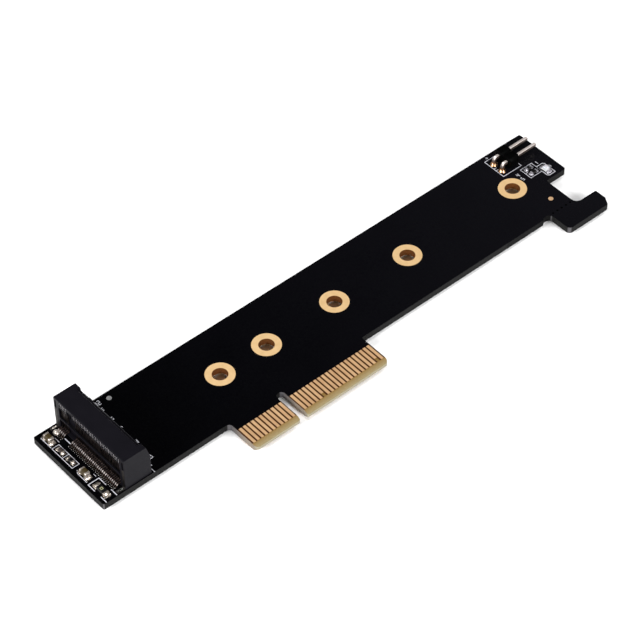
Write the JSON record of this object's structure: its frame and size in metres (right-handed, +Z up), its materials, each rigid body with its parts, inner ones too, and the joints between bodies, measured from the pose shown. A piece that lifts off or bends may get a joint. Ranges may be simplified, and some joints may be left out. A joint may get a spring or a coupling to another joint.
{
  "type": "nvme adapter card",
  "caption": "Narrow plug-in adapter card that holds one M.2 solid-state drive in an edge-mounted socket, with rows of gold edge contacts, a retention hook and a small pin header.",
  "frame": {"origin": "bottom centre of the part's box: the middle of its length and depth, at the tips of the header's soldered tails", "axes": "+X along the card from the drive socket to the pin header, +Y from the edge contacts to the far edge, +Z up out of the component side, the card lying on its back"},
  "size_m": [0.1304, 0.0304, 0.0106],
  "materials": {
    "masked_laminate": "black solder mask over glass-epoxy laminate, bare brown laminate at the cut edges",
    "hard_gold": "hard gold plating, smooth",
    "immersion_gold": "immersion gold plating, satin",
    "socket_plastic": "black glass-filled plastic, satin",
    "spring_contact": "plated spring alloy",
    "tinned_steel": "matte tin",
    "tinned_land": "solder-coated copper",
    "header_plastic": "black moulded plastic, satin",
    "plated_pin": "tin-plated brass, bright",
    "solder": "bright solder",
    "chip_terminal": "matte tin over nickel",
    "capacitor_ceramic": "tan ceramic",
    "small_ceramic": "brown ceramic",
    "resistor_coating": "black coating on white ceramic",
    "led_base": "white laminate",
    "led_lens": "clear to milky moulded resin"
  },
  "bodies": {
    "root": {"activity_led_body": "led_base", "activity_led_lens": "led_lens", "activity_led_terminals": "chip_terminal", "assembly_target_hook_end": "immersion_gold", "assembly_target_socket_end": "tinned_land", "back_contacts_after_key": "hard_gold", "back_contacts_before_key": "hard_gold", "circuit_board": "masked_laminate", "filter_capacitor_body": "small_ceramic", "filter_capacitor_terminals": "chip_terminal", "front_contacts_after_key": "hard_gold", "front_contacts_before_key": "hard_gold", "header_housing": "header_plastic", "header_pin_1": "plated_pin", "header_pin_2": "plated_pin", "header_solder_1": "solder", "header_solder_2": "solder", "jumper_link_body": "resistor_coating", "jumper_link_terminals": "chip_terminal", "led_resistor_1_body": "resistor_coating", "led_resistor_1_terminals": "chip_terminal", "led_resistor_2_body": "resistor_coating", "led_resistor_2_terminals": "chip_terminal", "mounting_ring_110": "immersion_gold", "mounting_ring_30": "immersion_gold", "mounting_ring_42": "immersion_gold", "mounting_ring_60": "immersion_gold", "mounting_ring_80": "immersion_gold", "socket_hold_down_far": "tinned_steel", "socket_hold_down_near": "tinned_steel", "socket_housing": "socket_plastic", "socket_lower_contacts": "spring_contact", "socket_upper_contacts": "spring_contact", "strap_resistor_body": "resistor_coating", "strap_resistor_terminals": "chip_terminal", "supply_capacitor_far_body": "capacitor_ceramic", "supply_capacitor_far_terminals": "chip_terminal", "supply_capacitor_near_body": "capacitor_ceramic", "supply_capacitor_near_terminals": "chip_terminal"}
  },
  "joints": []
}
